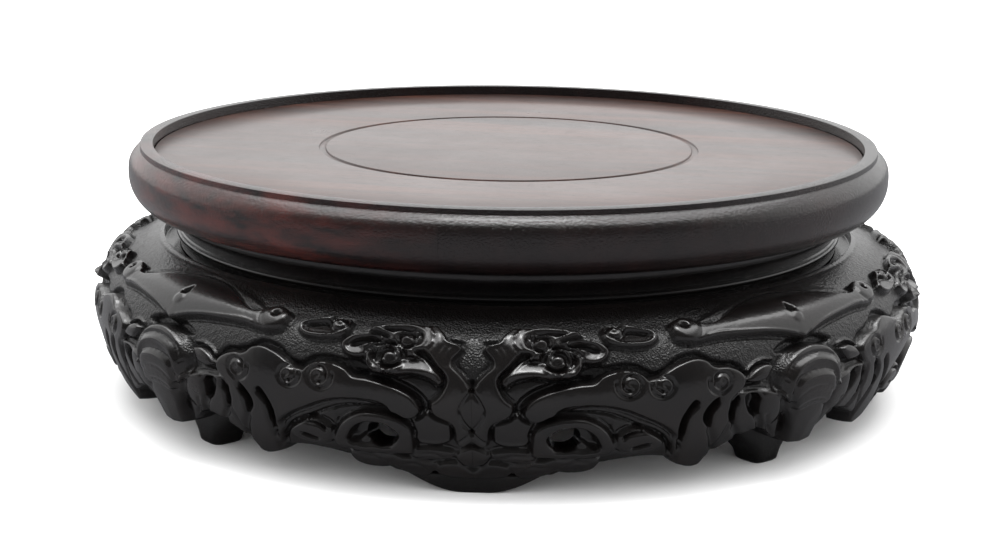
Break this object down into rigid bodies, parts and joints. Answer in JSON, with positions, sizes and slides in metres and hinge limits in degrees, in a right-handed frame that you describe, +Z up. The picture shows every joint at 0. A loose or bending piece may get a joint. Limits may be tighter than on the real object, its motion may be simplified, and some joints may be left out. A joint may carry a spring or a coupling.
{
  "type": "round carved display stand",
  "caption": "Round carved hardwood stand with a dished top, moulded waist and bulging relief-carved skirt on low feet, for standing a bowl or vase on",
  "frame": {"origin": "on the ground under the centre of the round top", "axes": "+Z up along the stand's axis; the first skirt joint and the first foot pad face -Y, the other pads face +X, +Y and -X"},
  "size_m": [0.2412, 0.2412, 0.0726],
  "materials": {
    "panel_wood": "rubbed lacquer over rosewood, straight reddish-brown grain",
    "rim_wood": "glossy lacquer over stained rosewood, red-brown to near black",
    "waist_wood": "glossy lacquer, near black",
    "skirt_wood": "glossy waxed carving with a stippled ground, near black",
    "foot_wood": "satin, near black",
    "inner_wood": "plain unpolished wood, hidden"
  },
  "bodies": {
    "root": {"top_panel": "panel_wood", "panel_batten_left": "inner_wood", "panel_batten_right": "inner_wood", "rim_arc_1": "rim_wood", "rim_arc_2": "rim_wood", "rim_arc_3": "rim_wood", "rim_arc_4": "rim_wood", "rim_tongue_1": "inner_wood", "rim_tongue_2": "inner_wood", "rim_tongue_3": "inner_wood", "rim_tongue_4": "inner_wood", "waist_arc_1": "waist_wood", "waist_arc_2": "waist_wood", "waist_arc_3": "waist_wood", "waist_arc_4": "waist_wood", "waist_peg_1": "inner_wood", "waist_peg_2": "inner_wood", "waist_peg_3": "inner_wood", "waist_peg_4": "inner_wood", "waist_peg_5": "inner_wood", "waist_peg_6": "inner_wood", "waist_peg_7": "inner_wood", "waist_peg_8": "inner_wood", "skirt_arc_1": "skirt_wood", "skirt_arc_2": "skirt_wood", "skirt_arc_3": "skirt_wood", "skirt_arc_4": "skirt_wood", "skirt_tongue_1": "inner_wood", "skirt_tongue_2": "inner_wood", "skirt_tongue_3": "inner_wood", "skirt_tongue_4": "inner_wood", "foot_pad_1": "foot_wood", "foot_pad_2": "foot_wood", "foot_pad_3": "foot_wood", "foot_pad_4": "foot_wood", "foot_block_1": "foot_wood", "foot_block_2": "foot_wood", "foot_block_3": "foot_wood", "foot_block_4": "foot_wood"}
  },
  "joints": []
}
